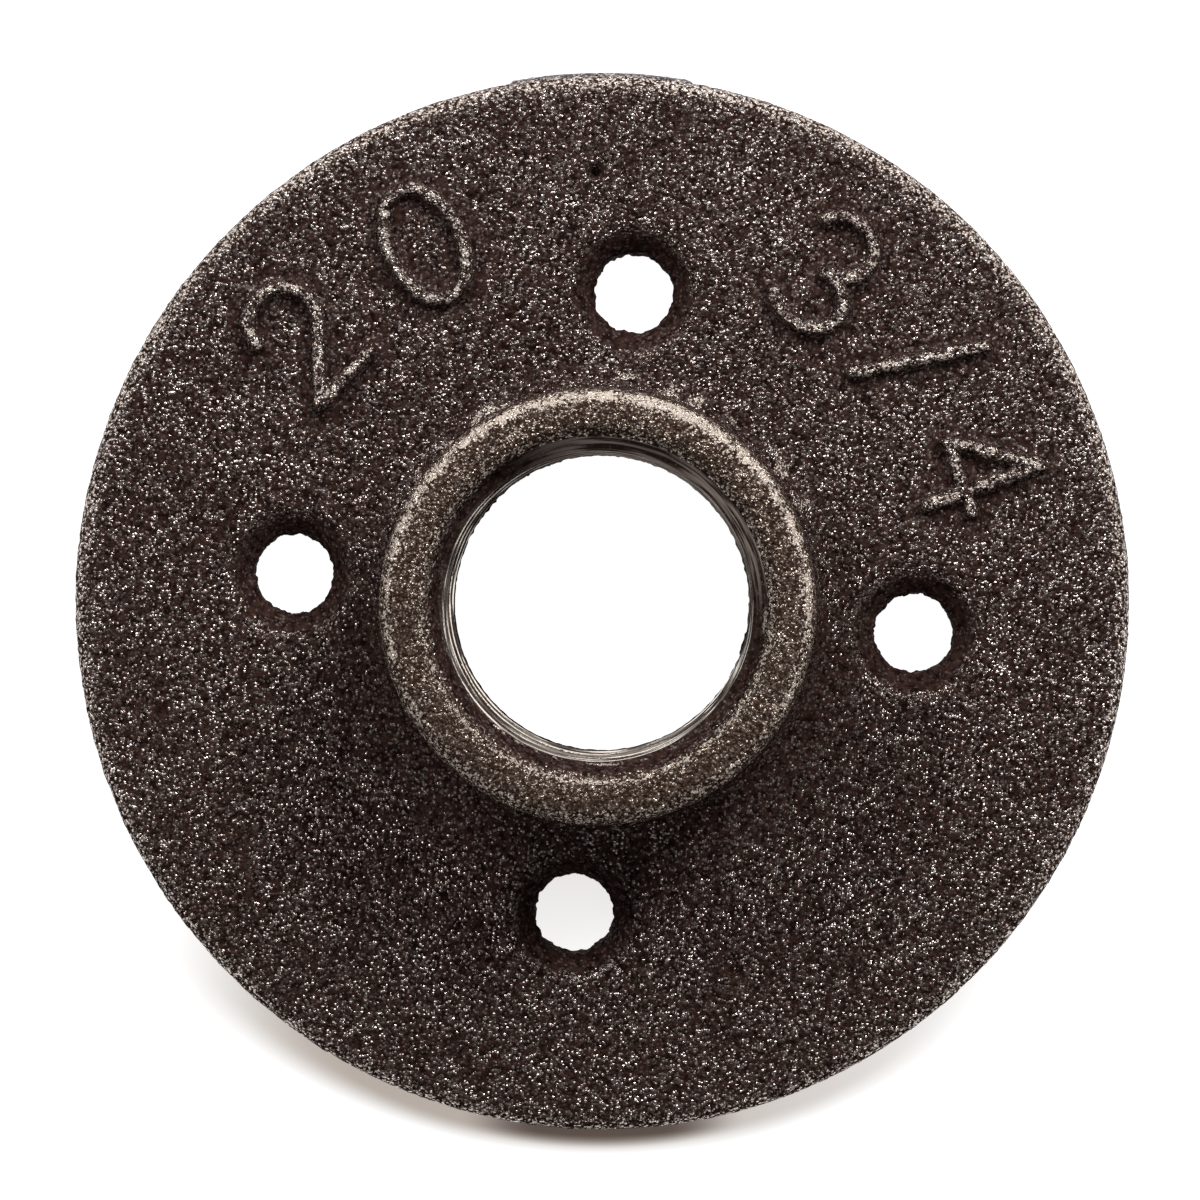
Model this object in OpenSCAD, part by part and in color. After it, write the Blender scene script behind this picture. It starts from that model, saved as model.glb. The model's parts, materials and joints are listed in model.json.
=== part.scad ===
// Threaded floor flange: one iron casting with a round plate, a threaded hub
// and countersunk screw holes. Millimetres, +Z up along the pipe, with the
// origin at the centre of the back face.

/* [Plate] */
// Diameter of the plate at its back face, before that edge is rounded
plate_d = 85; // [75:0.5:110]
// Thickness of the plate at its rim
rim_h = 5; // [4:0.1:8]
// Rise of the front face from the rim to the hub
crown = 0.6; // [0:0.1:1.5]
// Draft of the rim wall in degrees
rim_draft = 5; // [0:0.5:8]
// Radius along the front edge of the rim
rim_round = 1.3; // [0.5:0.1:2]
// Radius along the back edge of the rim
back_round = 0.5; // [0.2:0.1:1]

/* [Hub] */
// Overall height from the back face to the lip
height = 18; // [16:0.5:30]
// Wall of the hub at its lip, from the bore to the outside
hub_wall = 4.95; // [3.5:0.05:6]
// Draft of the hub wall in degrees
hub_draft = 1; // [0:0.5:3]
// Fillet between the hub and the plate
hub_fillet = 2.4; // [1:0.1:4]
// Radius along the outer edge of the lip
lip_outer_round = 1.8; // [0.5:0.1:2]
// Radius along the inner edge of the lip
lip_inner_round = 0.8; // [0.3:0.1:1]

/* [Pipe thread] */
// Bore at the crests of the pipe thread
bore_d = 23.7; // [18:0.1:27]
// Pitch of the thread's grooves
thread_pitch = 1.814; // [1.2:0.001:2.4]
// Depth of the grooves as a share of the pitch
thread_depth_share = 0.58; // [0.5:0.02:0.64]
// Included angle of the grooves in degrees
thread_angle = 55; // [55:1:60]
// Width of the thread's entry countersink, outwards from the bore
entry_w = 1.95; // [0.5:0.05:2.5]
// Included angle of the entry countersink in degrees
entry_angle = 70; // [60:5:120]
// Chamfer where the bore meets the back face
back_chamfer = 0.6; // [0.2:0.1:1.5]

/* [Screw holes] */
// Number of screw holes
screw_count = 4; // [3:1:6]
// Diameter of the circle through the hole centres
screw_circle_d = 50; // [48:0.5:60]
// Diameter of each screw hole
screw_hole_d = 6.4; // [4:0.1:7]
// Width of each countersink, outwards from its hole
countersink_w = 1.8; // [0.5:0.1:2.5]
// Included angle of each countersink in degrees
countersink_angle = 90; // [82:1:120]

/* [Hidden] */
$fn = 96;

// How far a cutter runs past the surface that it opens
overcut = 1;
// Share by which a corner's waste reaches past the corner, and its arc past the tangent points
corner_overcut = 1.2;
arc_overrun = 1.001;

plate_r = plate_d / 2;
bore_r = bore_d / 2;
entry_r = bore_r + entry_w;
entry_depth = entry_w / tan(entry_angle / 2);
hub_top_r = bore_r + hub_wall;
hub_root_z = rim_h + crown;
hub_root_r = hub_top_r + (height - hub_root_z) * tan(hub_draft);
rim_top_r = plate_r - rim_h * tan(rim_draft);

// As many whole grooves as the straight bore holds, with their roots flattened
thread_span = height - entry_depth - back_chamfer;
groove_count = floor(thread_span / thread_pitch);
groove_depth = thread_depth_share * thread_pitch;
root_half = thread_pitch / 16;
mouth_half = root_half + groove_depth * tan(thread_angle / 2);

// The two rounds of the lip share the width that the entry leaves of the hub's wall
lip_round_limit = 0.6 * (hub_wall - entry_w);

// Height of the crowned front face at a distance from the pipe's axis
function front_z(r) = rim_h + crown * (rim_top_r - r) / (rim_top_r - hub_root_r);

// Corners of one groove, from its upper edge to its lower edge
function groove_corners(z) = [
    [bore_r, z + mouth_half, 0],
    [bore_r + groove_depth, z + root_half, 0],
    [bore_r + groove_depth, z - root_half, 0],
    [bore_r, z - mouth_half, 0]
];

// Half section of the casting: [distance from the axis, height, corner radius].
// Rings at the thread's pitch stand for the turns of its helix.
section_corners = [
    [bore_r + back_chamfer, 0, 0],
    [plate_r, 0, back_round],
    [rim_top_r, rim_h, rim_round],
    [hub_root_r, hub_root_z, hub_fillet],
    [hub_top_r, height, min(lip_outer_round, lip_round_limit)],
    [entry_r, height, min(lip_inner_round, lip_round_limit)],
    [bore_r, height - entry_depth, 0],
    for (i = [groove_count - 1 : -1 : 0])
        each groove_corners(back_chamfer + thread_span / 2 + (i - (groove_count - 1) / 2) * thread_pitch),
    [bore_r, back_chamfer, 0]
];

function unit(v) = v / norm(v);

// Corner i of an outline that is listed counterclockwise, counted past both of the list's ends
function spot(corners, i) =
    let (corner = corners[(i + len(corners)) % len(corners)]) [corner[0], corner[1]];

// Direction from corner i to the corner before it (side = -1) or after it (side = 1)
function heading(corners, i, side) = unit(spot(corners, i + side) - spot(corners, i));

function half_angle(corners, i) = acos(heading(corners, i, -1) * heading(corners, i, 1)) / 2;

// An outward corner of the outline, as against one that bends inwards
function is_outward(corners, i) = cross(heading(corners, i, 1), heading(corners, i, -1)) > 0;

// Where the arc that rounds corner i touches the edge on one side of it
function touch(corners, i, side) =
    spot(corners, i) + heading(corners, i, side) * corners[i][2] / tan(half_angle(corners, i));

function arc_centre(corners, i) =
    spot(corners, i) + unit(heading(corners, i, -1) + heading(corners, i, 1))
        * corners[i][2] / sin(half_angle(corners, i));

// A rounded inward corner starts as a chamfer, which its arc then hollows out
function sharp_points(corners) = [
    for (i = [0 : len(corners) - 1], side = [-1, 1])
        if (corners[i][2] > 0 && !is_outward(corners, i)) touch(corners, i, side)
        else if (side > 0) spot(corners, i)
];

// Disc of a corner's arc, which runs a hair past its tangent points to cut the edges cleanly
module arc_disc(corners, i) {
    translate(arc_centre(corners, i)) circle(r = corners[i][2] * arc_overrun);
}

// What an outward corner loses to its arc, reaching past the corner
module corner_waste(corners, i) {
    centre = arc_centre(corners, i);
    beyond = function (point) centre + (point - centre) * corner_overcut;
    difference() {
        polygon([centre, beyond(touch(corners, i, -1)), beyond(spot(corners, i)), beyond(touch(corners, i, 1))]);
        arc_disc(corners, i);
    }
}

// An outline with true arcs at its corners
module rounded_outline(corners) {
    difference() {
        polygon(sharp_points(corners));
        for (i = [0 : len(corners) - 1])
            if (corners[i][2] > 0) {
                if (is_outward(corners, i)) corner_waste(corners, i);
                else arc_disc(corners, i);
            }
    }
}

// Plate, hub, lip, threaded bore and its entry, turned about the pipe's axis,
// with the seam of the turn midway between two screw holes
module casting() {
    rotate(180 / screw_count) rotate_extrude() rounded_outline(section_corners);
}

// Straight hole with a countersink that opens to its full diameter at the front face
module screw_hole() {
    face_z = front_z(screw_circle_d / 2);
    hole_r = screw_hole_d / 2;
    slope = tan(countersink_angle / 2);
    sink_depth = countersink_w / slope;
    translate([0, 0, -overcut])
        cylinder(r = hole_r, h = face_z + 2 * overcut);
    translate([0, 0, face_z - sink_depth])
        cylinder(r1 = hole_r, r2 = hole_r + countersink_w + overcut * slope, h = sink_depth + overcut);
}

module screw_holes() {
    for (i = [0 : screw_count - 1])
        rotate(i * 360 / screw_count)
            translate([screw_circle_d / 2, 0, 0]) screw_hole();
}

module flange() {
    color([0.23, 0.19, 0.17]) difference() {
        casting();
        screw_holes();
    }
}

flange();
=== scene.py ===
import json
import math
import bpy
import numpy as np
from mathutils import Matrix, Vector, noise


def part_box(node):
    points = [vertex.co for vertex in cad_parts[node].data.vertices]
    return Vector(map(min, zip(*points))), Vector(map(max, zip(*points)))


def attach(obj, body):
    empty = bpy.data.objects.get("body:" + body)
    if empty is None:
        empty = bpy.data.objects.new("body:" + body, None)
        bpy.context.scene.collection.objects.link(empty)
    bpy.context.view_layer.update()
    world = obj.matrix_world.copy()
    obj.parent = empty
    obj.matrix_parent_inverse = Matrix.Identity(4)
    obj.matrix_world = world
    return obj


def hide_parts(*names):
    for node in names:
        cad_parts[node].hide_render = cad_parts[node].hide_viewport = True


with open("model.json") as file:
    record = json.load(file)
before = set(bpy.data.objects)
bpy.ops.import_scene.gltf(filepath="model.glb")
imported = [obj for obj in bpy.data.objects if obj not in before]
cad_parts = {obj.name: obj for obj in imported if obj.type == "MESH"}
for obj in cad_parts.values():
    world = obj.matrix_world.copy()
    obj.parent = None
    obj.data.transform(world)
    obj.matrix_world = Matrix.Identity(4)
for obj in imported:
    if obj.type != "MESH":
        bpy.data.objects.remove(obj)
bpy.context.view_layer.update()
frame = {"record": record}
mm = 0.001
fullTurn = 2 * math.pi
tiny, farOff = 1e-12, 1e9
scene = bpy.context.scene

# sizes that the frame already holds, in millimetres
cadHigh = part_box("flange")[1] / mm
mounts = {mount["name"]: mount["dims"] for mount in frame["record"]["mounts"]}
boreR = mounts["pipe_thread"]["r_mm"]
screwR = mounts["screw_holes"]["hole_r_mm"]
screwCircleR = mounts["screw_holes"]["pcd_mm"] / 2
screwCount = mounts["screw_holes"]["count"]
lipZ = cadHigh.z
rimR = cadHigh.x


def unit(v):
    return v / np.linalg.norm(v)


def spoke(turn):
    return np.array([math.cos(turn), math.sin(turn)])


def slope(degrees):
    return math.tan(math.radians(degrees))


def smoothstep(low, high, x):
    t = np.clip((x - low) / (high - low), 0, 1)
    return t * t * (3 - 2 * t)


def fade(low, high, x):
    return 1 - smoothstep(low, high, x)


def bell(x, width):
    return np.exp(-(x / width) ** 2)


def ramp(pair, x):
    # the pair's first value, and its second for each x
    return pair[0] + pair[1] * x


def roundedPath(corners, arcStep=0.05):
    # (r, z, radius) corners to a polyline with true arcs
    path = []
    for i, (r, z, radius) in enumerate(corners):
        at = np.array([r, z])
        if radius == 0 or i in (0, len(corners) - 1):
            path.append(at)
            continue
        back = unit(np.array(corners[i - 1][:2]) - at)
        ahead = unit(np.array(corners[i + 1][:2]) - at)
        half = math.acos(float(np.clip(back @ ahead, -1, 1))) / 2
        centre = at + unit(back + ahead) * radius / math.sin(half)
        start, end = (at + way * radius / math.tan(half) - centre for way in (back, ahead))
        first = math.atan2(start[1], start[0])
        sweep = (math.atan2(end[1], end[0]) - first + math.pi) % fullTurn - math.pi
        steps = max(2, math.ceil(abs(sweep) * radius / arcStep))
        for turn in np.linspace(first, first + sweep, steps + 1):
            path.append(centre + radius * spoke(turn))
    return np.array(path)


def resample(path, step):
    lengths = np.concatenate([[0], np.cumsum(np.linalg.norm(np.diff(path, axis=0), axis=1))])
    spots = np.linspace(0, lengths[-1], max(2, round(lengths[-1] / step) + 1))
    return np.column_stack([np.interp(spots, lengths, path[:, k]) for k in (0, 1)])


print("section of the casting")
# millimetres and degrees
casting = {
    "rimHeight": 5.0, "crown": 0.6, "rimDraft": 5.0, "rimRound": 1.3, "backRound": 0.5,
    "rimSkin": 0.25,            # room for grain and gate between the rim wall and the frame's radius
    "hubWall": 4.95, "hubDraft": 1.0, "hubFillet": 2.4, "lipOuterRound": 1.8, "lipInnerRound": 0.8,
    "entryWidth": 1.95, "entryAngle": 70.0, "backChamfer": 0.6,
    "entryLap": 0.7,            # the lip's rings run this far into the entry, and the thread's rows follow
    "backLap": 1.5,             # the rim's path runs this far in under the plate
    "gridInnerR": 18.3,         # the face's grid starts on the fillet, past its steep part
    "faceRise": 0.02,           # the face starts this far above the rim's height
    "faceStep": 0.345, "hubStep": 0.36, "rimStep": 0.4,
}
screwHoles = {
    "sinkWidth": 1.8,           # countersink, outwards from its hole
    "flare": 0.06,              # the cast holes open a little towards the back
    "inward": 0.2, "aside": (0.2, 0.0),         # they lie a little off the frame's bolt circle
    "sinkRows": 6, "shankRows": 7,
}
wallR = rimR - casting["rimSkin"]
rimTopR = wallR - casting["rimHeight"] * slope(casting["rimDraft"])
hubTopR = boreR + casting["hubWall"]
rootZ = casting["rimHeight"] + casting["crown"]
rootR = hubTopR + (lipZ - rootZ) * slope(casting["hubDraft"])
entryR = boreR + casting["entryWidth"]
entrySlope = slope(casting["entryAngle"] / 2)
entryFootZ = lipZ - casting["entryLap"] / entrySlope
backBoreR = boreR + casting["backChamfer"]
sinkR = screwR + screwHoles["sinkWidth"]
screwSpots = [(screwCircleR - screwHoles["inward"]) * spoke(turn) + screwHoles["aside"]
              for turn in np.arange(screwCount) * fullTurn / screwCount]

outside = roundedPath([(wallR - casting["backLap"], 0, 0),
                       (wallR, 0, casting["backRound"]),
                       (rimTopR, casting["rimHeight"], casting["rimRound"]),
                       (rootR, rootZ, casting["hubFillet"]),
                       (hubTopR, lipZ, casting["lipOuterRound"]),
                       (entryR, lipZ, casting["lipInnerRound"]),
                       (entryR - casting["entryLap"], entryFootZ, 0)])
faceStart = np.argmax(outside[:, 1] > casting["rimHeight"] + casting["faceRise"])
faceEnd = faceStart + np.argmax(outside[faceStart:, 0] < casting["gridInnerR"])
rimPath = outside[:faceStart + 1][::-1]
facePath = outside[faceStart:faceEnd + 1]
hubPath = outside[faceEnd:]
facePath[-1, 1] = np.interp(casting["gridInnerR"], facePath[::-1, 0], facePath[::-1, 1])
facePath[-1, 0] = casting["gridInnerR"]
gridOuterR = facePath[0, 0]

shell = {"points": [], "count": 0, "faces": [], "zones": []}


def addPoints(points):
    first = shell["count"]
    shell["points"].append(np.asarray(points, float))
    shell["count"] += len(points)
    return np.arange(first, shell["count"])


def addFaces(faces, zone):
    shell["faces"].extend(faces)
    shell["zones"].extend([zone] * len(faces))


def addRing(turns, r, z, centre=(0, 0)):
    x, y = centre[0] + r * np.cos(turns), centre[1] + r * np.sin(turns)
    return addPoints(np.column_stack([x, y, np.broadcast_to(z, turns.shape)]))


def addDisc(xy, z, faces, loops, zone):
    first = addPoints(np.column_stack([xy, z]))[0]
    addFaces([tuple(v + first for v in f) for f in faces], zone)
    return [loop + first for loop in loops]


def anglesOf(loop, centre):
    points = np.concatenate(shell["points"])[loop]
    return np.arctan2(points[:, 1] - centre[1], points[:, 0] - centre[0])


def stitch(a, b, zone, centre=(0, 0)):
    # a band from loop a to loop b, both counterclockwise seen from above
    if len(a) == len(b):
        n = len(a)
        addFaces([(a[i], b[i], b[(i + 1) % n], a[(i + 1) % n]) for i in range(n)], zone)
        return
    angleA, angleB = anglesOf(a, centre), anglesOf(b, centre)
    a, angleA = np.roll(a, -np.argmin(angleA)), np.sort(angleA)
    b, angleB = np.roll(b, -np.argmin(angleB)), np.sort(angleB)
    angleA, angleB = np.append(angleA, angleA[0] + fullTurn), np.append(angleB, angleB[0] + fullTurn)
    i = j = 0
    faces = []
    while i < len(a) or j < len(b):
        if j >= len(b) or (i < len(a) and angleA[i + 1] < angleB[j + 1]):
            faces.append((a[i % len(a)], b[j % len(b)], a[(i + 1) % len(a)]))
            i += 1
        else:
            faces.append((a[i % len(a)], b[j % len(b)], b[(j + 1) % len(b)]))
            j += 1
    addFaces(faces, zone)


def wall(last, rings, zone, flip=False, centre=(0, 0)):
    # stitches ring after ring and hands back the last one; flip turns the faces over
    for ring in rings:
        a, b = (ring, last) if flip else (last, ring)
        stitch(a, b, zone, centre)
        last = ring
    return last


def turned(loop, path):
    # rings that follow the path's (r, z) at the loop's angles
    turns = anglesOf(loop, (0, 0))
    return [addRing(turns, r, z) for r, z in path]


def holedDisc(step, outerR, innerR, holeR, shift=0.37, rounds=3):
    # square grid whose edge points are pulled onto the circles that bound it
    reach = math.ceil(outerR / step) + 1
    line = (np.arange(-reach, reach + 1) + shift) * step
    x, y = np.meshgrid(line, line)
    points = np.column_stack([x.ravel(), y.ravel()])
    circles = [(np.zeros(2), outerR, -1), (np.zeros(2), innerR, 1)]
    circles += [(spot, holeR, 1) for spot in screwSpots]
    gaps = np.array([side * (np.linalg.norm(points - at, axis=1) - r) for at, r, side in circles])
    nearest, gap = gaps.argmin(axis=0), gaps.min(axis=0)
    kept = gap > -step / 2
    edge = np.where(kept & (gap <= step / 2), nearest, -1)
    for k, (at, r, _) in enumerate(circles):
        away = points[edge == k] - at
        points[edge == k] = at + away * r / np.linalg.norm(away, axis=1)[:, None]
    index = np.arange(len(points)).reshape(x.shape)
    cells = np.stack([index[:-1, :-1], index[:-1, 1:], index[1:, 1:], index[1:, :-1]], -1).reshape(-1, 4)
    cells = cells[kept[cells].sum(axis=1) >= 3]
    faces = [tuple(int(v) for v in cell if kept[v]) for cell in cells]
    faces = [f for f in faces if edge[f[0]] < 0 or len({int(edge[v]) for v in f}) > 1]
    used = np.unique(np.concatenate([np.array(f) for f in faces]))
    renumber = np.full(len(points), -1)
    renumber[used] = np.arange(len(used))
    faces = [tuple(int(renumber[v]) for v in f) for f in faces]
    points, edge = points[used], edge[used]
    pairs = np.array([(f[i], f[(i + 1) % len(f)]) for f in faces for i in range(len(f))])
    for _ in range(rounds):             # even out the inner points
        total, near = np.zeros_like(points), np.zeros(len(points))
        for one, other in ((0, 1), (1, 0)):
            np.add.at(total, pairs[:, one], points[pairs[:, other]])
            np.add.at(near, pairs[:, one], 1)
        points = np.where((edge < 0)[:, None], total / near[:, None], points)
    loops = []
    for k, (at, _, _) in enumerate(circles):
        ring = np.flatnonzero(edge == k)
        turns = np.arctan2(points[ring, 1] - at[1], points[ring, 0] - at[0])
        loops.append(ring[np.argsort(turns)])
    return points, faces, loops


def arcLine(cx, cy, rx, ry, start, end, steps=14):
    turn = np.radians(np.linspace(start, end, steps))
    return np.column_stack([cx + rx * np.cos(turn), cy + ry * np.sin(turn)])


# raised size numerals: each glyph and its angle round the plate, then the shape of their strokes
marks = {"glyphs": [("2", 144.0), ("0", 121.5), ("3", 61.0), ("/", 43.0), ("4", 25.0)],
         "r": 31.7, "tall": 9.4, "wide": 5.8, "height": 0.95, "crownHalf": 0.18, "footHalf": 0.92,
         "waver": 0.2, "waverSize": 0.55, "waverReach": 3.0,
         "fineGap": 1.25}           # the grid is split this close to a stroke or the pinhole
# strokes on a box from (-0.5, -0.5) to (0.5, 0.5)
strokes = {
    "0": [arcLine(0, 0, 0.5, 0.5, 0, 360, 30)],
    "2": [np.vstack([arcLine(0, 0.2, 0.48, 0.3, 170, -35), [[-0.5, -0.5], [0.5, -0.5]]])],
    "3": [arcLine(-0.03, 0.25, 0.45, 0.25, 150, -90), arcLine(-0.03, -0.25, 0.5, 0.25, 90, -150)],
    "4": [np.array([[0.5, -0.17], [-0.5, -0.17], [0.22, 0.5], [0.22, -0.5]])],
    "/": [np.array([[-0.4, -0.5], [0.4, 0.5]])],
}


def strokeGap(xy, line):
    gap = np.full(len(xy), farOff)
    for a, b in zip(line[:-1], line[1:]):
        along = np.clip(((xy - a) @ (b - a)) / max((b - a) @ (b - a), tiny), 0, 1)
        gap = np.minimum(gap, np.linalg.norm(xy - a - along[:, None] * (b - a), axis=1))
    return gap


def markGap(xy):
    # distance of each point to the nearest stroke of a raised numeral
    gap = np.full(len(xy), farOff)
    for glyph, at in marks["glyphs"]:
        out = spoke(math.radians(at))
        across = np.array([out[1], -out[0]])
        local = xy - marks["r"] * out
        local = np.column_stack([local @ across, local @ out])
        near = (np.abs(local) < marks["tall"]).all(axis=1)
        for line in strokes[glyph]:
            gap[near] = np.minimum(gap[near], strokeGap(local[near], line * [marks["wide"], marks["tall"]]))
    return gap


def splitQuads(points, faces, chosen):
    # the chosen quads become four each, and their neighbours take the new edge points as corners
    mids, extra = {}, []

    def midOf(a, b):
        key = (min(a, b), max(a, b))
        if key not in mids:
            mids[key] = len(points) + len(extra)
            extra.append((points[a] + points[b]) / 2)
        return mids[key]

    fine = []
    for f in (f for f, pick in zip(faces, chosen) if pick):
        edges = [midOf(f[i], f[(i + 1) % 4]) for i in range(4)]
        centre = len(points) + len(extra)
        extra.append(points[list(f)].mean(axis=0))
        fine.extend((f[i], edges[i], centre, edges[i - 1]) for i in range(4))
    for f in (f for f, pick in zip(faces, chosen) if not pick):
        walk = []
        for a, b in zip(f, f[1:] + f[:1]):
            walk.append(a)
            if (min(a, b), max(a, b)) in mids:
                walk.append(mids[min(a, b), max(a, b)])
        fine.append(tuple(walk))
    return np.vstack([points, extra]), fine


print("front face")
pinhole = {"angle": 96.2, "r": 34.15, "size": 0.46, "depth": 1.3}
pit = pinhole["r"] * spoke(math.radians(pinhole["angle"]))
xy, faces, loops = holedDisc(casting["faceStep"], gridOuterR, casting["gridInnerR"], sinkR)
gap = np.minimum(markGap(xy), np.linalg.norm(xy - pit, axis=1))
xy, faces = splitQuads(xy, faces, [len(f) == 4 and gap[list(f)].min() < marks["fineGap"] for f in faces])
faceZ = np.interp(np.linalg.norm(xy, axis=1), facePath[::-1, 0], facePath[::-1, 1])
outerLoop, innerLoop, *mouths = addDisc(xy, faceZ, faces, loops, "face")

print("rim")
rimFoot = wall(outerLoop, turned(outerLoop, resample(rimPath, casting["rimStep"])[1:-1]), "rim")

print("hub and lip")
entryTop = wall(innerLoop, turned(innerLoop, resample(hubPath, casting["hubStep"])[1:]), "hub", True)

print("thread")
# pipe thread, cut with a slight taper that opens towards the lip
thread = {"pitch": 1.814, "depth": 1.05, "flank": (0.08, 0.92), "tight": 0.1,
          "taper": 0.3, "taperPower": 1.6, "topZ": 16.2, "fullZ": 1.2, "runOutZ": (13.4, 15.0),
          "rowStep": 0.215, "aroundStep": 1.5}
# the tap's lead-in sits off centre, towards the photo's upper right
leadIn = {"radius": 12.4, "offset": 0.48, "towards": 58.0, "angle": 62.0, "fromZ": 15.1}
threadTurns = np.radians(np.arange(0, 360, thread["aroundStep"]) - 180 + thread["aroundStep"] / 2)
threadRows = np.linspace(entryFootZ, 0, round(entryFootZ / thread["rowStep"]) + 1)[1:]
leadR = leadIn["radius"] + leadIn["offset"] * np.cos(threadTurns - math.radians(leadIn["towards"]))


def crestAway(z, turns):
    # 0 on the thread's crest, 1 in the middle of its groove
    return 1 - np.abs(2 * ((z / thread["pitch"] - turns / fullTurn) % 1) - 1)


def threadRing(z):
    cone = entryR - (lipZ - z) * entrySlope
    r = np.full_like(threadTurns, max(cone, backBoreR - z))
    if z < thread["topZ"]:
        crestR = boreR - thread["tight"] + thread["taper"] * (z / thread["topZ"]) ** thread["taperPower"]
        groove = smoothstep(*thread["flank"], crestAway(z, threadTurns))
        ends = smoothstep(0, thread["fullZ"], z)
        r = np.maximum(r, crestR + thread["depth"] * groove * ends * fade(*thread["runOutZ"], z))
    if z > leadIn["fromZ"]:
        r = np.maximum(r, leadR + (z - leadIn["fromZ"]) / slope(leadIn["angle"]))
    return addRing(threadTurns, r, z)


boreFoot = wall(entryTop, [threadRing(z) for z in threadRows], "thread", True)

print("screw holes")
screwFeet = []
for spot, mouth in zip(screwSpots, mouths):
    mouthZ = np.concatenate(shell["points"])[mouth][:, 2]
    turns = anglesOf(mouth, spot)
    drops = np.linspace(0, screwHoles["sinkWidth"], screwHoles["sinkRows"] + 1)[1:]
    rings = [addRing(turns, sinkR - drop, mouthZ - drop, spot) for drop in drops]
    sinkFoot = wall(mouth, rings, "sink", True, spot)
    shares = np.linspace(1, 0, screwHoles["shankRows"] + 1)[1:]
    rings = [addRing(turns, screwR + screwHoles["flare"] * (1 - share),
                     (mouthZ - screwHoles["sinkWidth"]) * share, spot) for share in shares]
    screwFeet.append(wall(sinkFoot, rings, "screw", True, spot))

print("back face")
# a grid with a band along each edge, lifted a hair so that it can ripple
backFace = {"step": 0.95, "rimBand": 1.6, "boreBand": 0.9, "screwBand": 0.8,
            "lift": 0.02, "ripple": 0.02, "rippleSize": 1.4}
xy, faces, loops = holedDisc(backFace["step"], wallR - backFace["rimBand"],
                             backBoreR + backFace["boreBand"], screwR + backFace["screwBand"])
backOuter, backBore, *backScrews = addDisc(xy, np.zeros(len(xy)), [f[::-1] for f in faces], loops, "back")
stitch(rimFoot, backOuter, "back")
stitch(backBore, boreFoot, "back")
for spot, grid, foot in zip(screwSpots, backScrews, screwFeet):
    stitch(grid, foot, "back", spot)

points = np.concatenate(shell["points"])
zones = np.array(shell["zones"])
corners = np.concatenate([np.array(f) for f in shell["faces"]])
sizes = np.array([len(f) for f in shell["faces"]])
starts = np.cumsum(sizes) - sizes
following = np.arange(len(corners)) + 1
following[starts + sizes - 1] = starts
print("triangles", int((sizes - 2).sum()), "points", len(points))


def faceWays(points):
    # normal of each face, as long as twice its area
    p = points[corners]
    p = p - np.repeat(p[starts], sizes, axis=0)
    return np.add.reduceat(np.cross(p, p[following]), starts, axis=0)


def vertexNormals(points):
    total = np.zeros_like(points)
    np.add.at(total, corners, np.repeat(faceWays(points), sizes, axis=0))
    return total / np.maximum(np.linalg.norm(total, axis=1), tiny)[:, None]


def pointMask(zone):
    mask = np.zeros(len(points), bool)
    mask[corners[np.repeat(zones == zone, sizes)]] = True
    return mask


def perlin(points, size, seed):
    offset = Vector((seed * 13.7, seed * 5.3, seed * 9.1))
    return np.array([noise.noise(Vector(p) / size + offset) for p in points])


print("grain, numerals and casting marks")
# sand grain, and how much of it each zone has that isn't raw skin
grain = {"lump": 0.035, "lumpSize": 1.9, "grit": 0.06, "gritSize": 0.72, "dust": 0.02, "seed": 7,
         "shares": {"sink": 0.45, "screw": 0.9, "thread": 0.12, "back": 0}}
# torn walls: depth, size and squeeze along z; the thread tears near the back, most on the lead-in's side
tears = {"screwCoarse": (0.28, 0.95, 0.45), "screwFine": (0.2, 0.4, 0.6), "thread": (0.3, 0.42, 0.5),
         "threadZ": (0.8, 3.2), "spread": (-0.35, 0.2), "amount": (0.25, 0.75)}
mouthDip = {"depth": 0.22, "width": 0.33}
gate = {"angle": 95.5, "halfWidth": 10.2, "height": 0.24, "endFade": 0.8, "topZ": (2.6, 3.6),
        "ground": (0.05, 0.2)}              # it shows as ground metal from this height on
# scratch on the edge of the entry
scratch = {"angle": 0.9, "halfWidth": 5.0, "r": 12.97, "width": 0.14, "fromZ": 15.05, "height": 0.1}
edgeRoom = 0.01                 # the grain stays this far inside the frame's radius

normals = vertexNormals(points)
onFace, onHub, onRim, onThread, onSink, onScrew, onBack = (
    pointMask(zone) for zone in ("face", "hub", "rim", "thread", "sink", "screw", "back"))
inBore = onThread & ~onHub
radius = np.linalg.norm(points[:, :2], axis=1)
angle = np.degrees(np.arctan2(points[:, 1], points[:, 0]))
z = points[:, 2]


def facing(towards):
    return np.cos(np.radians(angle - towards))


def turnFrom(degrees):
    return (angle - degrees + 180) % 360 - 180


def torn(name, seed):
    depth, size, squeeze = tears[name]
    return depth * perlin(points * [1, 1, squeeze], size, seed)


strokeAway = np.where(onFace, markGap(points[:, :2]), farOff)
nearStroke = strokeAway < marks["waverReach"]
strokeAway[nearStroke] += marks["waver"] * perlin(points[nearStroke], marks["waverSize"], 12)
rise = fade(marks["crownHalf"], marks["footHalf"], strokeAway)

spotAway = np.array([np.linalg.norm(points[:, :2] - spot, axis=1) for spot in screwSpots])
mouthGap = np.abs(spotAway - sinkR).min(axis=0)
dip = np.where(onFace | onSink, mouthDip["depth"] * bell(mouthGap, mouthDip["width"]), 0)
pitAway = np.linalg.norm(points[:, :2] - pit, axis=1)
pitDepth = np.where(onFace, pinhole["depth"] * bell(pitAway, pinhole["size"]), 0)
gateEnds = fade(gate["halfWidth"] - gate["endFade"], gate["halfWidth"], np.abs(turnFrom(gate["angle"])))
gateRise = np.where(onRim, gate["height"] * gateEnds * fade(*gate["topZ"], z), 0)

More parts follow.
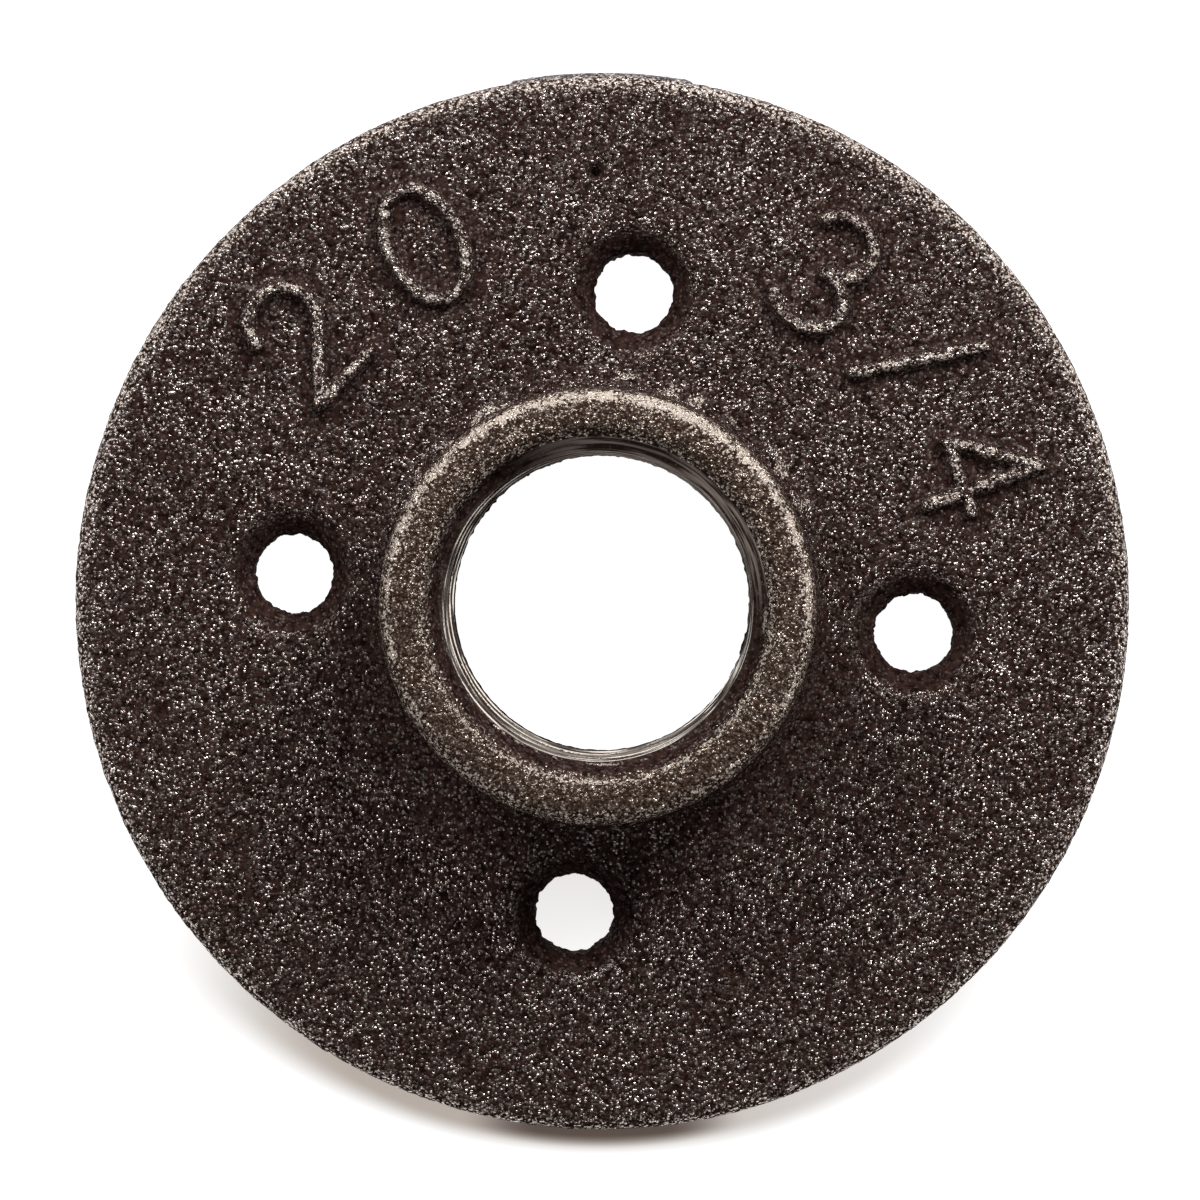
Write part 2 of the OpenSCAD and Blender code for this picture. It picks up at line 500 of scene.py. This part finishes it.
coarse = np.ones(len(points))
for zone, share in grain["shares"].items():
    coarse[pointMask(zone)] = share
rng = np.random.default_rng(grain["seed"])
rough = (grain["lump"] * perlin(points, grain["lumpSize"], 1)
         + grain["grit"] * perlin(points, grain["gritSize"], 2)
         + grain["dust"] * rng.standard_normal(len(points))) * coarse
tornSide = ramp(tears["amount"], smoothstep(*tears["spread"], facing(leadIn["towards"])))
ragged = np.where(onScrew, torn("screwCoarse", 3) + torn("screwFine", 8), 0)
ragged += np.where(inBore, torn("thread", 4) * fade(*tears["threadZ"], z) * tornSide, 0)
streak = np.exp(-(turnFrom(scratch["angle"]) / scratch["halfWidth"]) ** 4)
streak = streak * bell(radius - scratch["r"], scratch["width"])
streak = np.where((onThread | onHub) & (z > scratch["fromZ"]), streak, 0)

print("bare thread")
# bare metal on the thread's crests, rubbed in some turns more than in others and in dashes along them, and
# painted brighter on the side that faces the lamps as painted highlight
bareThread = {"brightSide": 255.0, "side": (0.08, 1.7), "sidePower": 1.7,
              "crest": (0.25, 0.85), "crestAmount": (0.04, 0.96), "fromZ": (1.2, 3.6), "toZ": (15.0, 15.4),
              "burnish": (0.05, 0.95), "burnishTurns": 1.93, "burnishStart": 0.95, "burnishPower": 1.5,
              "burnishWaver": 1.5, "burnishSize": 3.0,
              "dash": (0.7, 0.9), "dashes": (-0.35, 0.3), "dashSqueeze": (0.45, 0.45, 2.6), "dashSize": 1.0}
# the edge where the thread starts, bright in places, most on the side that faces the lamps as painted
# highlight
startLine = {"z": 15.45, "width": 0.18, "waver": 0.16, "waverSize": 0.7,
             "gapSize": 0.9, "gaps": (-0.15, 0.2)}
# turned skin with tool lines on the side of the bore that faces away from the lamps, painted lighter there as
# painted reflected light
turnedSide = {"towards": 64.0, "spread": (0.4, 0.95), "amount": 0.9,
              "fromZ": (0.8, 2.5), "toZ": (15.6, 16.4)}

side = ramp((0.5, 0.5), facing(bareThread["brightSide"]))
crest = ramp(bareThread["crestAmount"], fade(*bareThread["crest"], crestAway(z, np.radians(angle))))
burnishTurn = (fullTurn * z / (thread["pitch"] * bareThread["burnishTurns"]) + bareThread["burnishStart"]
               + bareThread["burnishWaver"] * perlin(points, bareThread["burnishSize"], 6))
burnish = ramp(bareThread["burnish"], ramp((0.5, 0.5), np.cos(burnishTurn)) ** bareThread["burnishPower"])
dashes = perlin(points * bareThread["dashSqueeze"], bareThread["dashSize"], 15)
dashes = ramp(bareThread["dash"], smoothstep(*bareThread["dashes"], dashes))
cut = crest * burnish * ramp(bareThread["side"], side ** bareThread["sidePower"])
cut = cut * smoothstep(*bareThread["fromZ"], z) * fade(*bareThread["toZ"], z) * dashes
cut = np.clip(np.where(inBore, cut, 0), 0, 1)
lineAway = z - startLine["z"] - startLine["waver"] * perlin(points, startLine["waverSize"], 17)
lineGaps = smoothstep(*startLine["gaps"], perlin(points, startLine["gapSize"], 9))
startEdge = np.where(onThread, bell(lineAway, startLine["width"]) * lineGaps * side ** 2, 0)
turnedSkinAndSheen = smoothstep(*turnedSide["spread"], facing(turnedSide["towards"]))
turnedSkinAndSheen = turnedSkinAndSheen * smoothstep(*turnedSide["fromZ"], z) * fade(*turnedSide["toZ"], z)
turnedSkinAndSheen = np.where(onThread, turnedSkinAndSheen * turnedSide["amount"], 0)

points = points + normals * (rough + ragged + gateRise + scratch["height"] * streak)[:, None]
points[:, 2] += rise * marks["height"] - dip - pitDepth
flat = onBack & ~onRim & ~onThread & ~onScrew
points[flat, 2] = backFace["lift"] + backFace["ripple"] * perlin(points[flat], backFace["rippleSize"], 5)
points[:, 2] = np.clip(points[:, 2], 0, lipZ)
reach = np.linalg.norm(points[:, :2], axis=1)
points[:, :2] *= np.minimum(1, (rimR - edgeRoom) / np.maximum(reach, tiny))[:, None]
z = points[:, 2]

print("worn edges")
# wear runs from 0, raw skin, to 1, bare metal, and also carries painted highlight; an amount in two parts is
# the least and what the lit side adds, which is painted highlight on the side towards the lamps
worn = {
    "photoTop": 90.0,           # painted highlight: the lip and the rim get more bare grains towards the top of the view, where the lamps are
    "lipTop": {"down": (3.0, 0.8), "amount": (0.22, 0.1)},
    "lipOuter": {"r": 16.2, "width": 0.58, "down": (2.4, 0.8), "amount": (0.45, 0.48),
                 "patchSize": 0.9, "patches": (-0.3, 0.3), "patch": (0.72, 0.42)},
    "lipInner": {"r": 13.5, "width": 0.4, "down": (1.4, 0.6), "amount": (0.63, -0.15)},
    "foot": {"fromR": (16.9, 17.4), "toR": (18.2, 18.8), "patchSize": 1.5, "patches": (0.02, 0.3),
             "spread": (-0.1, 0.5), "amount": 0.56},
    "rim": {"in": 0.9, "out": 0.5, "fromZ": (2.5, 4.2), "amount": (0.345, 0.155), "aged": 0.1},
    "mouth": {"width": 0.4, "low": (0.2, 0.9), "amount": (0.25, 0.13)},
    "strokes": {"crown": (0.4, 0.9), "patchSize": 0.8, "patches": (-0.3, 0.4), "amount": (0.37, 0.26)},
    "face": {"downward": (-0.4, -0.92), "from": (12, 32), "amount": 0.11},
    "threadStart": 0.8,
}


def downFromLip(band):
    return smoothstep(lipZ - band["down"][0], lipZ - band["down"][1], z)


def patches(band, seed):
    return smoothstep(*band["patches"], perlin(points, band["patchSize"], seed))


topFacing = facing(worn["photoTop"])
lit = ramp((0.5, 0.5), topFacing)
lipTop = np.where(onHub, downFromLip(worn["lipTop"]), 0)
lipOuter, lipInner = (np.where(onHub, bell(radius - band["r"], band["width"]) * downFromLip(band), 0)
                      for band in (worn["lipOuter"], worn["lipInner"]))
patchy = ramp(worn["lipOuter"]["patch"], patches(worn["lipOuter"], 18))
foot = worn["foot"]
# painted highlight: bare grains in patches on the hub's foot, only on the side that faces the lamps
footSheen = np.where(onHub | onFace, smoothstep(*foot["fromR"], radius) * fade(*foot["toR"], radius), 0)
footSheen = footSheen * patches(foot, 11) * smoothstep(*foot["spread"], topFacing)
rim = worn["rim"]
rimEdge = smoothstep(gridOuterR - rim["in"], gridOuterR + rim["out"], radius) * smoothstep(*rim["fromZ"], z)
rimEdge = np.where(onRim | onFace, rimEdge, 0)
mouthEdge = np.where(onFace | onSink, bell(mouthGap, worn["mouth"]["width"]), 0)
ownSpot = np.array(screwSpots)[spotAway.argmin(axis=0)]
mouthLow = smoothstep(*worn["mouth"]["low"], (ownSpot - points[:, :2])[:, 1] / sinkR)     # painted highlight: more worn grains on the side of each mouth that faces the lamps
strokeWear = ramp(worn["strokes"]["amount"], patches(worn["strokes"], 14))
strokeWear = smoothstep(*worn["strokes"]["crown"], rise) * strokeWear
# painted highlight and shade: the face has more bare grains towards the lamps and fewer towards the lower
# left
downX, downY = worn["face"]["downward"]
downward = downX * points[:, 0] + downY * points[:, 1]
faceSheen = np.where(onFace, worn["face"]["amount"] * smoothstep(*worn["face"]["from"], -downward), 0)
wear = np.clip(np.maximum.reduce([
    ramp(worn["lipTop"]["amount"], lit) * lipTop,
    ramp(worn["lipOuter"]["amount"], lit) * lipOuter * patchy,
    ramp(worn["lipInner"]["amount"], lit) * lipInner,
    ramp(rim["amount"], lit) * rimEdge,
    ramp(worn["mouth"]["amount"], mouthLow) * mouthEdge,
    strokeWear, foot["amount"] * footSheen, worn["threadStart"] * startEdge, faceSheen, streak]), 0, 1)
aged = np.where(onHub, lipTop, rim["aged"] * rimEdge)
ground = smoothstep(*gate["ground"], gateRise)

# smooth skin has fewer bare grains, and so has painted shade: by the hub, beside the numerals, in the
# pinhole, on the lip away from the lamps and on the face towards the lower left; 0 for full grain, 1 for
# hardly any
calm = {"entryR": (12.75, 13.05), "entryZ": (15.8, 16.4),               # the entry keeps its grain
        "lipInner": 0.12, "lipInnerR": (13.2, 14.2),
        "lipMiddle": 0.5, "lipMiddleR": (14.3, 15.3), "lipMiddleEndR": (15.4, 15.9),
        "shielded": 0.64, "shieldR": (20.5, 26.5), "shieldSpread": (-0.3, 0.5), "shieldDown": 3,
        "face": 0.22, "faceFrom": (-25, 25),
        # painted shade in a band beside each numeral's stroke
        "besideStroke": 0.85, "besideGap": 1.15, "besideWidth": 0.7}
inEntry = smoothstep(*calm["entryR"], radius) * smoothstep(*calm["entryZ"], z)
shielded = fade(*calm["shieldR"], radius) * fade(*calm["shieldSpread"], topFacing)          # painted shade by the hub, on its sides away from the lamps
lipMiddle = smoothstep(*calm["lipMiddleR"], radius) * fade(*calm["lipMiddleEndR"], radius)
smooth = np.maximum.reduce([
    np.where(onSink | onScrew, 1 - mouthEdge, 0),
    np.where(onThread, 1 - np.maximum.reduce([inEntry, startEdge, streak]), 0),
    pitDepth / pinhole["depth"],
    # painted shade: fewer bare grains on the lip's inner edge at the top, which faces away from the lamps,
    # and on the lip's middle away from the lamps
    np.where(onHub, calm["lipInner"] * lit ** 2 * fade(*calm["lipInnerR"], radius), 0),
    np.where(onHub, calm["lipMiddle"] * (1 - lit) * lipTop * lipMiddle, 0),
    np.where(onFace | (z < lipZ - calm["shieldDown"]), calm["shielded"] * shielded, 0),
    np.where(onFace, calm["face"] * smoothstep(*calm["faceFrom"], downward), 0),
    calm["besideStroke"] * bell(strokeAway - calm["besideGap"], calm["besideWidth"])])

print("mesh")
mesh = bpy.data.meshes.new("flange_casting")
mesh.from_pydata((points * mm).tolist(), [], shell["faces"])
mesh.validate(verbose=False)
mesh.polygons.foreach_set("use_smooth", np.ones(len(mesh.polygons), bool))
for name, values in (("wear", wear), ("smooth", smooth), ("cut", cut), ("ground", ground),
                     ("turned", turnedSkinAndSheen), ("aged", aged)):
    layer = mesh.attributes.new(name, "FLOAT", "POINT")
    layer.data.foreach_set("value", values.astype(np.float32))

# the bake's chart: the front large, the back small, walls and holes as strips below and beside it;
# a box is left, low, width, height
chart = {"front": (0.01, 0.27, 0.72, 0.72), "back": (0.745, 0.745, 0.245, 0.245), "span": 86.0,
         "hubWall": (0.01, 0.12, 0.89, 0.083), "hubFromZ": 5, "hubSpan": 13.5,
         "rimWall": (0.01, 0.01, 0.965, 0.04), "rimLift": 0.055, "rimSpan": 5.2,
         "bore": (0.75, 0.28, 0.1, 0.44), "boreTop": 15.9, "boreSpan": 18,
         "shank": (0.86, 0.28, 0.12, 0.022), "shankLift": 0.03, "shankSpan": 5}
ways = faceWays(points)
upward = np.repeat(ways[:, 2] / np.maximum(np.linalg.norm(ways, axis=1), tiny), sizes)
middle = np.repeat(np.add.reduceat(points[corners], starts, axis=0) / sizes[:, None], sizes, axis=0)
zoneAt = np.repeat(zones, sizes)
at = points[corners]
u, v = np.zeros(len(at)), np.zeros(len(at))


def turnAt(centre=(0, 0)):
    # angle of each corner in turns from 0 to 1, without a jump inside a face
    home = np.arctan2(middle[:, 1] - centre[1], middle[:, 0] - centre[0])
    turn = np.arctan2(at[:, 1] - centre[1], at[:, 0] - centre[0])
    return (home + (turn - home + math.pi) % fullTurn - math.pi) / fullTurn + 0.5


def lay(chosen, box, shareU, shareV, lift=0):
    left, low, wide, tall = box
    u[chosen] = (left + wide * shareU)[chosen]
    v[chosen] = (low + lift + tall * shareV)[chosen]


turn = turnAt()
upperHalf = middle[:, 1] > 0
spanX, spanY = at[:, 0] / chart["span"], at[:, 1] / chart["span"]
everything = slice(None)
lay(everything, chart["front"], 0.5 + spanX, 0.5 + spanY)
lay((zoneAt == "back") | ((zoneAt == "rim") & (upward < -0.5)), chart["back"], 0.5 - spanX, 0.5 + spanY)
lay((zoneAt == "hub") & (upward < 0.5), chart["hubWall"],
    turn, (at[:, 2] - chart["hubFromZ"]) / chart["hubSpan"])
lay((zoneAt == "rim") & (np.abs(upward) < 0.5), chart["rimWall"],
    turn * 2 - upperHalf, at[:, 2] / chart["rimSpan"], chart["rimLift"] * upperHalf)
lay((zoneAt == "thread") & (middle[:, 2] < chart["boreTop"]), chart["bore"],
    at[:, 2] / chart["boreSpan"], turn)
for k, spot in enumerate(screwSpots):
    shank = (zoneAt == "screw") & (np.linalg.norm(middle[:, :2] - spot, axis=1) < 2 * screwR)
    lay(shank, chart["shank"], turnAt(spot), at[:, 2] / chart["shankSpan"], chart["shankLift"] * k)
bakeMap = mesh.uv_layers.new(name="OFBake")
bakeMap.data.foreach_set("uv", np.column_stack([u, v]).ravel().astype(np.float32))
print("bake chart from", u.min().round(3), v.min().round(3), "to", u.max().round(3), v.max().round(3))

piece = bpy.data.objects.new("flange_casting", mesh)
scene.collection.objects.link(piece)


def nodeTree(owner):
    owner.use_nodes = True
    owner.node_tree.nodes.clear()
    return owner.node_tree


def node(tree, kind, inputs=None, **settings):
    made = tree.nodes.new(kind)
    for key, value in settings.items():
        setattr(made, key, value)
    for key, value in (inputs or {}).items():
        if isinstance(value, bpy.types.NodeSocket):
            tree.links.new(value, made.inputs[key])
        else:
            made.inputs[key].default_value = value
    return made


def math2(tree, operation, a, b, clamp=False):
    return node(tree, "ShaderNodeMath", {0: a, 1: b}, operation=operation, use_clamp=clamp).outputs[0]


def times(tree, a, b, clamp=False):
    return math2(tree, "MULTIPLY", a, b, clamp)


def mapRange(tree, value, low, high, toLow=0.0, toHigh=1.0, kind="SMOOTHSTEP"):
    made = node(tree, "ShaderNodeMapRange", {"Value": value, "From Min": low, "From Max": high,
                                             "To Min": toLow, "To Max": toHigh}, interpolation_type=kind)
    return made.outputs["Result"]


def mixColor(tree, factor, a, b):
    return node(tree, "ShaderNodeMix", {0: factor, 6: a, 7: b}, data_type="RGBA").outputs[2]


def nodeGroup(name, inputs, outputs):
    group = bpy.data.node_groups.new(name, "ShaderNodeTree")
    for label in inputs:
        kind = "NodeSocketVector" if label == "Vector" else "NodeSocketFloat"
        group.interface.new_socket(label, in_out="INPUT", socket_type=kind)
    for label in outputs:
        group.interface.new_socket(label, in_out="OUTPUT", socket_type="NodeSocketFloat")
    enter, leave = group.nodes.new("NodeGroupInput"), group.nodes.new("NodeGroupOutput")
    return group, [enter.outputs[label] for label in inputs], leave.inputs


print("cast iron")
# sizes are shares of the grain's scale; four numbers are a range and what it turns into
sand = {"grains": 0.86, "clumps": 0.55, "tones": 0.3, "broad": 0.035, "fineRoughness": 0.4,
        "dome": (0.0, 0.75, 1.0, 0.0), "fineShare": 0.5, "domeShare": 0.5,
        "heightShare": 0.4, "clumpShare": 0.6, "polishPower": 5.4, "wornPower": 4.3,
        "grainEdge": (0.45, 0.8, 1.0, 0.0), "broadPolish": (0.3, 0.7, 0.7, 1.3),
        "clumpPolish": (0.35, 0.65, 0.5, 1.65), "tone": (0.3, 0.7)}


def sandGrainGroup():
    group, (vector, scale, wear), leave = nodeGroup("sandGrain", ("Vector", "Grain Scale", "Wear"),
                                                    ("Height", "Proud", "Polish", "Tone"))

    def cloud(share, detail):
        made = node(group, "ShaderNodeTexNoise", {"Vector": vector, "Scale": times(group, scale, share),
                                                  "Detail": detail})
        return made.outputs["Fac"]

    fine = node(group, "ShaderNodeTexNoise", {"Vector": vector, "Scale": scale,
                                              "Detail": 1.0, "Roughness": sand["fineRoughness"]})
    grains = node(group, "ShaderNodeTexVoronoi", {"Vector": vector,
                                                  "Scale": times(group, scale, sand["grains"])})
    clump, tone, broad = cloud(sand["clumps"], 1.0), cloud(sand["tones"], 2.0), cloud(sand["broad"], 3.0)
    own = node(group, "ShaderNodeSeparateColor", {"Color": grains.outputs["Color"]}).outputs["Red"]
    away = grains.outputs["Distance"]
    dome = mapRange(group, away, *sand["dome"])
    height = math2(group, "ADD", times(group, fine.outputs["Fac"], sand["fineShare"]),
                   times(group, dome, sand["domeShare"]))
    proud = math2(group, "ADD", times(group, height, sand["heightShare"]),
                  times(group, clump, sand["clumpShare"]))
    # each grain has its own polish, and worn places and places with painted highlight have more polished ones
    power = math2(group, "SUBTRACT", sand["polishPower"], times(group, wear, sand["wornPower"]))
    polish = math2(group, "POWER", own, power)
    for value, key in ((away, "grainEdge"), (broad, "broadPolish"), (clump, "clumpPolish")):
        polish = times(group, polish, mapRange(group, value, *sand[key]))
    group.links.new(height, leave["Height"])
    group.links.new(proud, leave["Proud"])
    group.links.new(math2(group, "MINIMUM", polish, 1.0), leave["Polish"])
    group.links.new(mapRange(group, tone, *sand["tone"]), leave["Tone"])
    return group


sandGrain = sandGrainGroup()

# fine lines around the pipe's axis, as a tool leaves them
toolLines = {"rise": 0.1, "along": 0.04, "detail": 2.0, "roughness": 0.6}


def turnStreakGroup():
    group, (vector, scale), leave = nodeGroup("turnStreak", ("Vector", "Line Scale"), ("Streak",))
    part = node(group, "ShaderNodeSeparateXYZ", {"Vector": vector}).outputs
    level = node(group, "ShaderNodeCombineXYZ", {"X": part["X"], "Y": part["Y"]})
    away = node(group, "ShaderNodeVectorMath", {0: level.outputs["Vector"]}, operation="LENGTH")
    away = away.outputs["Value"]
    line = node(group, "ShaderNodeCombineXYZ", {
        "X": times(group, part["X"], toolLines["along"]), "Y": times(group, part["Y"], toolLines["along"]),
        "Z": math2(group, "ADD", away, times(group, part["Z"], toolLines["rise"]))})
    lines = node(group, "ShaderNodeTexNoise", {
        "Vector": line.outputs["Vector"], "Scale": scale,
        "Detail": toolLines["detail"], "Roughness": toolLines["roughness"]})
    group.links.new(lines.outputs["Fac"], leave["Streak"])
    return group


turnStreak = turnStreakGroup()

castIron = {
    "valley": (0.0118, 0.0047, 0.0037, 1), "skin": (0.0535, 0.027, 0.0216, 1),
    "worn": (0.044, 0.0235, 0.0165, 1), "wornTint": 0.8,
    "lump": (0.172, 0.119, 0.093, 1), "lumps": (0.4, 0.58, 0.0, 0.75),
    "rubbed": (0.82, 0.715, 0.625, 1), "rubLimit": (0.68, 0.2), "rubSoft": 0.11, "rubbedMetal": 0.35,
    "glint": (0.98, 0.84, 0.78, 1), "wornGlint": (0.68, 0.555, 0.46, 1), "glintMetal": 4.0,
    # the turned colours are partly turned skin and partly painted reflected light on the bore's shaded side
    "turned": (0.68, 0.56, 0.5, 1), "turnedDark": (0.06, 0.039, 0.033, 1), "turnedLines": (0.41, 0.6),
    "turnedGloss": 0.3,
    "bareMetal": (0.97, 0.86, 0.75, 1), "bareLines": (0.41, 0.57, 0.12, 1.4), "bareGloss": 0.1,
    "ground": (0.20, 0.205, 0.225, 1), "grainScale": 5900.0, "lineScale": 4600.0,
    "grainLeft": 0.12,          # share of the bare grains that smooth skin and painted shade keep
    "roughness": (0, 0.35, 0.85, 0.24), "specular": 0.03, "bump": 0.00017, "knobs": 0.8,
}


def castIronMaterial():
    material = bpy.data.materials.new("cast_iron")
    tree = nodeTree(material)
    place = node(tree, "ShaderNodeTexCoord").outputs["Object"]
    wear, aged, smooth, cut, ground, turned = (
        node(tree, "ShaderNodeAttribute", attribute_name=name).outputs["Fac"]
        for name in ("wear", "aged", "smooth", "cut", "ground", "turned"))
    skin = node(tree, "ShaderNodeGroup", {"Vector": place, "Grain Scale": castIron["grainScale"],
                                          "Wear": wear}, node_tree=sandGrain).outputs
    streak = node(tree, "ShaderNodeGroup", {"Vector": place, "Line Scale": castIron["lineScale"]},
                  node_tree=turnStreak).outputs["Streak"]
    cut = times(tree, cut, mapRange(tree, streak, *castIron["bareLines"]), True)
    kept = mapRange(tree, smooth, 0, 1, 1.0, castIron["grainLeft"], "LINEAR")
    polish = times(tree, skin["Polish"], kept)
    # the more an edge is worn, the more of its grains are rubbed
    low = mapRange(tree, wear, 0, 1, *castIron["rubLimit"], "LINEAR")
    rubbing = mapRange(tree, skin["Proud"], low, math2(tree, "ADD", low, castIron["rubSoft"]))
    rubbing = times(tree, rubbing, kept)

    lumps = mapRange(tree, skin["Proud"], *castIron["lumps"])
    turnedColor = mixColor(tree, mapRange(tree, streak, *castIron["turnedLines"]),
                           castIron["turnedDark"], castIron["turned"])
    glint = mixColor(tree, aged, castIron["glint"], castIron["wornGlint"])
    color = mixColor(tree, skin["Tone"], castIron["valley"], castIron["skin"])
    for share, over in ((times(tree, aged, castIron["wornTint"]), castIron["worn"]),
                        (times(tree, aged, lumps), castIron["lump"]),
                        (rubbing, castIron["rubbed"]),
                        (ground, castIron["ground"]),
                        (turned, turnedColor),
                        (polish, glint),
                        (cut, castIron["bareMetal"])):
        color = mixColor(tree, share, color, over)

    metal = math2(tree, "MAXIMUM", times(tree, polish, castIron["glintMetal"], True),
                  times(tree, rubbing, castIron["rubbedMetal"]))
    metal = math2(tree, "MAXIMUM", metal, cut)
    gloss = math2(tree, "MAXIMUM", math2(tree, "MAXIMUM", polish, cut),
                  times(tree, turned, castIron["turnedGloss"]))
    rough = mapRange(tree, gloss, *castIron["roughness"], "LINEAR")
    rough = math2(tree, "SUBTRACT", rough, times(tree, cut, castIron["bareGloss"]))
    relief = times(tree, math2(tree, "SUBTRACT", skin["Height"], 0.5), kept)
    knobs = times(tree, math2(tree, "SUBTRACT", skin["Tone"], 0.5), castIron["knobs"])
    relief = math2(tree, "ADD", relief, times(tree, aged, knobs))
    bump = node(tree, "ShaderNodeBump", {"Height": relief, "Distance": castIron["bump"], "Strength": 1.0})
    surface = node(tree, "ShaderNodeBsdfPrincipled", {
        "Base Color": color, "Roughness": rough, "Metallic": metal,
        "Normal": bump.outputs["Normal"], "Specular IOR Level": castIron["specular"]})
    node(tree, "ShaderNodeOutputMaterial", {"Surface": surface.outputs["BSDF"]})
    return material


mesh.materials.append(castIronMaterial())
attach(piece, "root")
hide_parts("flange")

print("floor, light and camera")
photoRoll = math.radians(5.466)                     # the photo shows the holes turned a little clockwise
up = Vector((-math.sin(photoRoll), math.cos(photoRoll), 0))
rightward = up.cross(Vector((0, 0, 1)))
# the floor glows for the camera; its glow is darkened into a painted soft shadow below the rim and painted
# shade in the lowest hole;
# a spread is a range of the cosine of the angle from straight below, an R a range of the distance
stage = {"size": 1.2, "level": -0.00002, "color": (0.4, 0.4, 0.4, 1), "glow": (1, 1, 1, 1),
         "shadow": (0.145, 0.062, 0.0, 1), "deepShadow": (0.05, 0.024, 0.012, 1), "rimR": (0.036, 0.04),
         "lobe": 0.68, "lobeSpread": (0.5, 0.9), "rightFade": 0.92, "nearR": 0.0431,
         "farSpread": (0.707, 1.0), "farR": (0.0474, 0.0446),       # it reaches further at the sides
         "contact": 0.99, "contactSpread": (0.962, 0.994), "contactR": (0.0428, 0.0440),
         "holeShade": 0.3, "holeSpread": (0.6, 0.95), "holeStartR": (0.018, 0.02), "holeR": (0.018, 0.035)}


def floorMaterial():
    material = bpy.data.materials.new("pale_floor")
    tree = nodeTree(material)
    rays = node(tree, "ShaderNodeLightPath").outputs
    seen = math2(tree, "MAXIMUM", rays["Is Camera Ray"], rays["Is Glossy Ray"])
    seen = math2(tree, "MAXIMUM", seen, rays["Is Transmission Ray"])
    place = node(tree, "ShaderNodeTexCoord").outputs["Object"]
    away = node(tree, "ShaderNodeVectorMath", {0: place}, operation="LENGTH").outputs["Value"]
    away = math2(tree, "MAXIMUM", away, mm)
    below, right = (node(tree, "ShaderNodeVectorMath", {0: place, 1: way}, operation="DOT_PRODUCT")
                    for way in (-up, rightward))
    below, right = (math2(tree, "DIVIDE", dot.outputs["Value"], away) for dot in (below, right))
    underRim = mapRange(tree, away, *stage["rimR"])
    # painted shadow: two lobes beside the bottom of the rim and a dark contact band under it
    farR = mapRange(tree, below, *stage["farSpread"], *stage["farR"], "LINEAR")
    lobe = mapRange(tree, below, *stage["lobeSpread"], 0.0, stage["lobe"])
    lobe = times(tree, lobe, mapRange(tree, right, 0, 1, 1.0, 1 - stage["rightFade"], "LINEAR"))
    lobe = times(tree, lobe, mapRange(tree, away, stage["nearR"], farR, 1.0, 0.0))
    contact = times(tree, mapRange(tree, below, *stage["contactSpread"]),
                    mapRange(tree, away, *stage["contactR"], stage["contact"], 0.0))
    inHole = times(tree, mapRange(tree, below, *stage["holeSpread"]),
                   mapRange(tree, away, *stage["holeR"], stage["holeShade"], 0.0))
    inHole = times(tree, inHole, mapRange(tree, away, *stage["holeStartR"]))
    shade = math2(tree, "MAXIMUM", times(tree, lobe, underRim), inHole)
    glow = mixColor(tree, shade, stage["glow"], stage["shadow"])
    glow = mixColor(tree, times(tree, contact, underRim), glow, stage["deepShadow"])
    diffuse = node(tree, "ShaderNodeBsdfDiffuse", {"Color": stage["color"]})
    light = node(tree, "ShaderNodeEmission", {"Color": glow, "Strength": seen})
    both = node(tree, "ShaderNodeAddShader", {0: diffuse.outputs["BSDF"], 1: light.outputs["Emission"]})
    node(tree, "ShaderNodeOutputMaterial", {"Surface": both.outputs["Shader"]})
    return material


floorCorners = [(x * stage["size"] / 2, y * stage["size"] / 2, stage["level"])
                for x, y in ((-1, -1), (1, -1), (1, 1), (-1, 1))]
floorMesh = bpy.data.meshes.new("floor")
floorMesh.from_pydata(floorCorners, [], [(0, 1, 2, 3)])
floorMesh.materials.append(floorMaterial())
floor = bpy.data.objects.new("floor", floorMesh)
scene.collection.objects.link(floor)


def lookFrom(place, at):
    back = (place - at).normalized()
    right = up.cross(back).normalized()
    turn = Matrix((right, back.cross(right), back)).transposed()
    return Matrix.Translation(place) @ turn.to_4x4()


# the photograph's view, nearly straight down on the lip
camera = {"distance": 0.39, "target": (-0.00018, 0.0002, 0.0), "leanX": 1.157, "leanY": 1.14,
          "lens": 145.8, "sensor": 36, "clip": (0.01, 10)}
target = Vector(camera["target"])
eye = target + camera["distance"] * Vector((slope(camera["leanX"]), slope(camera["leanY"]), 1))
cameraData = bpy.data.cameras.new("camera")
cameraData.lens = camera["lens"]
cameraData.sensor_width = camera["sensor"]
cameraData.clip_start, cameraData.clip_end = camera["clip"]
cameraObject = bpy.data.objects.new("camera", cameraData)
scene.collection.objects.link(cameraObject)
cameraObject.matrix_world = lookFrom(eye, target)
scene.camera = cameraObject

# two softboxes at the photo's upper left and upper right, and a weak one below
softboxes = {
    "leftBox": {"side": -0.215, "upward": 0.26, "height": 0.25, "width": 0.16, "depth": 0.16, "power": 0.69},
    "rightBox": {"side": 0.19, "upward": 0.27, "height": 0.25, "width": 0.16, "depth": 0.16, "power": 1.16},
    "fillBox": {"side": 0.0, "upward": -0.4, "height": 0.42, "width": 0.4, "depth": 0.3, "power": 0.25},
}
for name, box in softboxes.items():
    light = bpy.data.lights.new(name, "AREA")
    light.shape = "RECTANGLE"
    light.size, light.size_y = box["width"], box["depth"]
    light.energy = box["power"]
    lamp = bpy.data.objects.new(name, light)
    scene.collection.objects.link(lamp)
    place = rightward * box["side"] + up * box["upward"] + Vector((0, 0, box["height"]))
    lamp.matrix_world = lookFrom(place, Vector((0, 0, 0)))

studio = {"color": (1, 1, 1, 1), "strength": 0.112}
world = bpy.data.worlds.new("studio")
scene.world = world
worldTree = nodeTree(world)
sky = node(worldTree, "ShaderNodeBackground", {"Color": studio["color"], "Strength": studio["strength"]})
node(worldTree, "ShaderNodeOutputWorld", {"Surface": sky.outputs["Background"]})
scene.view_settings.view_transform = "Standard"
